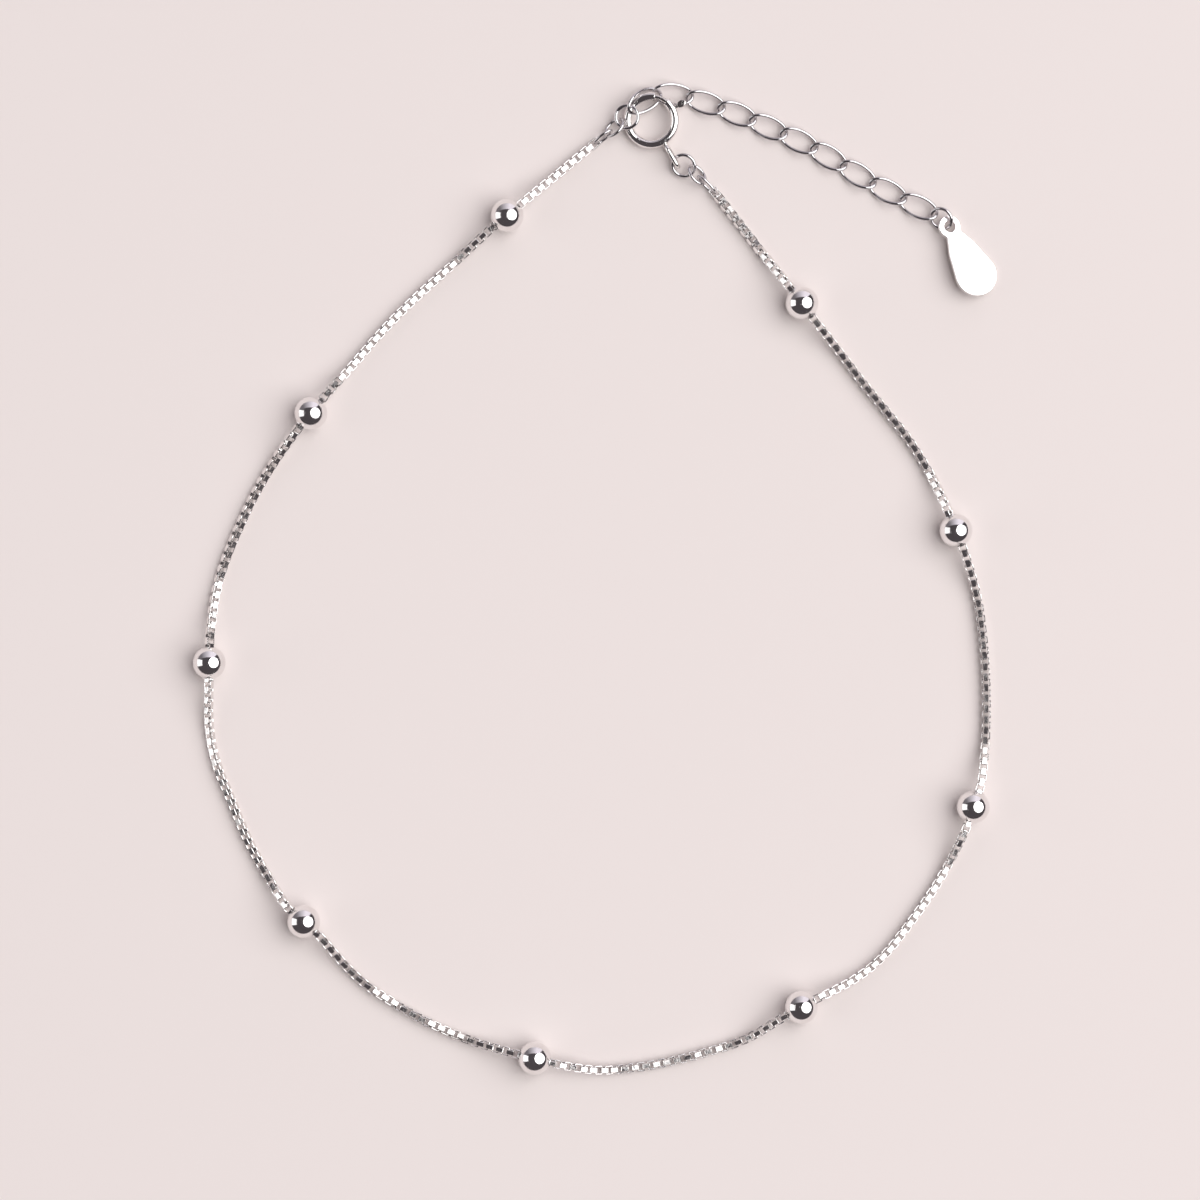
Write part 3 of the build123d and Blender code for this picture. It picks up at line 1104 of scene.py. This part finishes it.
# ---------------- tag
@dataclass
class TeardropTag:
    """Blank teardrop plate with a round head about its hole."""

    lie: Lie = Lie(32.07, 32.08, 0.78, -61, 0, -14)
    thick: float = 0.4
    hole_r: float = 0.53
    head_r: float = 1.035
    neck_fillet: float = 0.45
    edge: float = 0.09
    hole_edge: float = 0.03
    hole_sides: int = 64
    crease: float = 60.0
    circles: tuple[tuple[float, float], ...] = ((0.9, 0.72), (2.7, 1.42), (5.0, 1.96))
    arc_steps: tuple[int, int, int, int] = (40, 4, 12, 30)

    def build(self, material: Material) -> Object:
        """Draws the half outline with arcs and runs, mirrors it and gives it its thickness."""
        shape = bmesh.new()
        self.half_outline(shape)
        outline = shape.verts[:] + shape.edges[:]
        bmesh.ops.mirror(shape, geom=outline, axis="Y", matrix=Matrix(), merge_dist=SAME_POINT)
        weld(shape)
        bmesh.ops.create_circle(shape, segments=self.hole_sides, radius=self.hole_r)
        bmesh.ops.triangle_fill(shape, edges=shape.edges[:], use_beauty=True)
        grown = bmesh.ops.extrude_face_region(shape, geom=shape.faces[:])
        bmesh.ops.translate(shape, vec=(0, 0, self.thick), verts=verts_in(grown["geom"]))
        bmesh.ops.translate(shape, vec=(0, 0, -self.thick / 2), verts=shape.verts)
        face_outwards(shape)
        rims = sharp_edges(shape, over=70)
        between = (self.hole_r + self.head_r) / 2
        outer = [edge for edge in rims if edge.verts[0].co.xy.length > between]
        inner = [edge for edge in rims if edge not in outer]
        soften(shape, outer, self.edge, segments=4)
        soften(shape, [edge for edge in inner if edge.is_valid], self.hole_edge, segments=2)
        move(shape, self.lie.matrix())
        name, node = "blank_teardrop_plate", "teardrop_tag"
        piece = add_piece(name, shape, material, node, crease=self.crease)
        keep_flats_flat(piece)
        return piece

    def half_outline(self, shape: BMesh) -> None:
        """Draws the outline's upper half, from the round end's tip to the head's far point."""
        (near, near_r), (mid, mid_r), (far, far_r) = self.circles
        leave_far = math.degrees(math.acos(-(far_r - mid_r) / (far - mid)))
        leave_mid = math.degrees(math.acos(-(mid_r - near_r) / (mid - near)))
        far_middle = Vector((far, 0, 0))
        mid_middle = Vector((mid, 0, 0))
        side = self.pointing(leave_mid)
        along = Vector((side.y, -side.x, 0))
        offset = near * side.x + near_r + self.neck_fillet
        reach = math.sqrt((self.head_r + self.neck_fillet) ** 2 - offset**2)
        fillet = side * offset + along * reach
        meets_head = math.degrees(math.atan2(fillet.y, fillet.x))
        end_steps, belly_steps, neck_steps, head_steps = self.arc_steps
        vert = shape.verts.new((far + far_r, 0, 0))
        vert = spun(shape, [vert], UP, far_middle, leave_far, end_steps)[0]
        vert = self.run_to(shape, vert, mid_middle + self.pointing(leave_far) * mid_r)
        vert = spun(shape, [vert], UP, mid_middle, leave_mid - leave_far, belly_steps)[0]
        vert = self.run_to(shape, vert, fillet - side * self.neck_fillet)
        vert = spun(shape, [vert], UP, fillet, meets_head - leave_mid, neck_steps)[0]
        spun(shape, [vert], UP, MIDDLE, 180 - meets_head, head_steps)

    @staticmethod
    def pointing(degrees: float) -> Vector:
        """Unit vector in the plate's plane at an angle from its long axis."""
        return Vector((math.cos(math.radians(degrees)), math.sin(math.radians(degrees)), 0))

    @staticmethod
    def run_to(shape: BMesh, vert: BMVert, point: Vector) -> BMVert:
        """Draws a straight run on from a vertex to a point and gives back the vertex there."""
        end = shape.verts.new(point)
        shape.edges.new((vert, end))
        return end


# ---------------- studio
@dataclass(frozen=True)
class Softbox:
    """A lamp whose face looks at the anklet.

    The azimuth is its direction in plan from +X. Its height and width and its distance are in
    metres, and a face with a radiance of 1 shows as white.
    """

    name: str
    shape: str
    azimuth: float
    from_zenith: float
    size: tuple[float, float]
    radiance: float
    distance: float = 2.0

    def add(self) -> None:
        """Adds the lamp."""
        lamp = bpy.data.lights.new(self.name, "AREA")
        lamp.shape = self.shape
        lamp.size, lamp.size_y = self.size
        filled = math.pi / 4 if self.shape == "ELLIPSE" else 1.0
        lamp.energy = self.radiance * math.pi * filled * self.size[0] * self.size[1]
        away = rotation(self.azimuth, "Z") @ rotation(self.from_zenith, "Y")
        softbox = add_object(self.name, lamp)
        softbox.matrix_world = Matrix.Translation(away @ (UP * self.distance)) @ away


SOFTBOXES = (
    Softbox("softbox_key", "ELLIPSE", 3.0, 36.3, (2.85, 2.85), radiance=3.0),
    Softbox("softbox_side", "RECTANGLE", 180.0, 68.0, (1.55, 1.3), radiance=1.2),
)


@dataclass
class Studio:
    """Pale floor, the softboxes, a dim room with one pale wall, and the camera.

    The floor's size and the camera's height are in metres. The wall's top is its steepness
    seen from the anklet. Its ends are the X of directions from the anklet, between which it
    goes from its dimmest to full brightness.
    """

    floor_colour: str = "#E9DFDC"
    floor_size: float = 8.0
    camera_middle: tuple[float, float] = (0.32, -1.86)
    camera_height: float = 0.45
    frame_width: float = 109.09
    sensor: float = 36.0
    framed_height: float = 0.8
    room_colour: str = "#4D484B"
    wall_colour: str = "#F8F1FA"
    wall_top: float = 1.17
    wall_top_blur: float = 0.1
    wall_side_blur: float = 0.1
    wall_ends: tuple[float, float] = (-0.7, 0.25)
    wall_dimmest: float = 0.12

    def build(self) -> None:
        """Builds floor, room, lamps and camera."""
        self.add_floor()
        self.add_room()
        for softbox in SOFTBOXES:
            softbox.add()
        self.add_camera()

    def add_floor(self) -> None:
        """Adds the plain matt floor that the anklet lies on."""
        shape = bmesh.new()
        bmesh.ops.create_grid(shape, x_segments=1, y_segments=1, size=self.floor_size / 2)
        mesh = to_mesh("floor", shape)
        material = bpy.data.materials.new("matt pale paper")
        material.use_nodes = True
        surface = material.node_tree.nodes["Principled BSDF"]
        surface.inputs["Base Color"].default_value = linear(self.floor_colour)
        surface.inputs["Roughness"].default_value = 0.95
        surface.inputs["Specular IOR Level"].default_value = 0.0
        mesh.materials.append(material)
        add_object("floor", mesh)

    def add_room(self) -> None:
        """Makes the room dim but for a pale wall behind the clasp, brighter to the right."""
        world = bpy.data.worlds.new("room")
        bpy.context.scene.world = world
        world.use_nodes = True
        tree = world.node_tree
        tree.nodes.clear()
        way = add_node(tree, "ShaderNodeTexCoord").outputs["Generated"]
        right, back, up = add_node(tree, "ShaderNodeSeparateXYZ", {}, {0: way}).outputs
        soft = {"interpolation_type": "SMOOTHSTEP"}
        top, blur = self.wall_top, self.wall_top_blur
        steepness = add_math(tree, "DIVIDE", up, back)
        fades = {**soft, "From Min": top + blur, "From Max": top - blur}
        below_top = add_range(tree, steepness, fades)
        inside = add_math(tree, "MINIMUM", back, add_math(tree, "SUBTRACT", back, right))
        ahead = add_range(tree, inside, {**soft, "From Max": self.wall_side_blur})
        left_end, right_end = self.wall_ends
        brighter = {"From Min": left_end, "From Max": right_end, "To Min": self.wall_dimmest}
        to_right = add_range(tree, right, brighter)
        both = add_math(tree, "MULTIPLY", below_top, ahead)
        amount = add_math(tree, "MULTIPLY", both, to_right)
        colour = add_mix(tree, self.room_colour, self.wall_colour, amount)
        light = add_node(tree, "ShaderNodeBackground", {}, {"Color": colour})
        add_node(tree, "ShaderNodeOutputWorld", {}, {"Surface": light.outputs[0]})

    def add_camera(self) -> None:
        """Adds the camera that looks straight down."""
        lens = bpy.data.cameras.new("camera")
        lens.sensor_width = self.sensor
        above = self.camera_height - self.framed_height * MM
        lens.lens = self.sensor * above / (self.frame_width * MM)
        camera = add_object("camera", lens)
        right, back = self.camera_middle
        camera.location = (right * MM, back * MM, self.camera_height)
        bpy.context.scene.camera = camera


def main() -> None:
    """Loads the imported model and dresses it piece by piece."""
    logging.basicConfig(level=logging.INFO, format="%(name)s: %(message)s", stream=sys.stdout)
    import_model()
    bpy.context.scene.view_settings.view_transform = "Standard"
    Studio().build()
    ball = BALL_SILVER.material()
    for number, place in enumerate(BEAD_PLACES, start=1):
        PolishedBall(place).build(number, ball)
    BoxChain().build(STRIP_SILVER.material())
    wire = WIRE_SILVER.material()
    Rings().build(wire)
    Extender().build(wire)
    SpringRing().build(TUBE_SILVER.material(), BOLT_SILVER.material())
    TeardropTag().build(PLATE_SILVER.material())


if __name__ == "__main__":
    main()
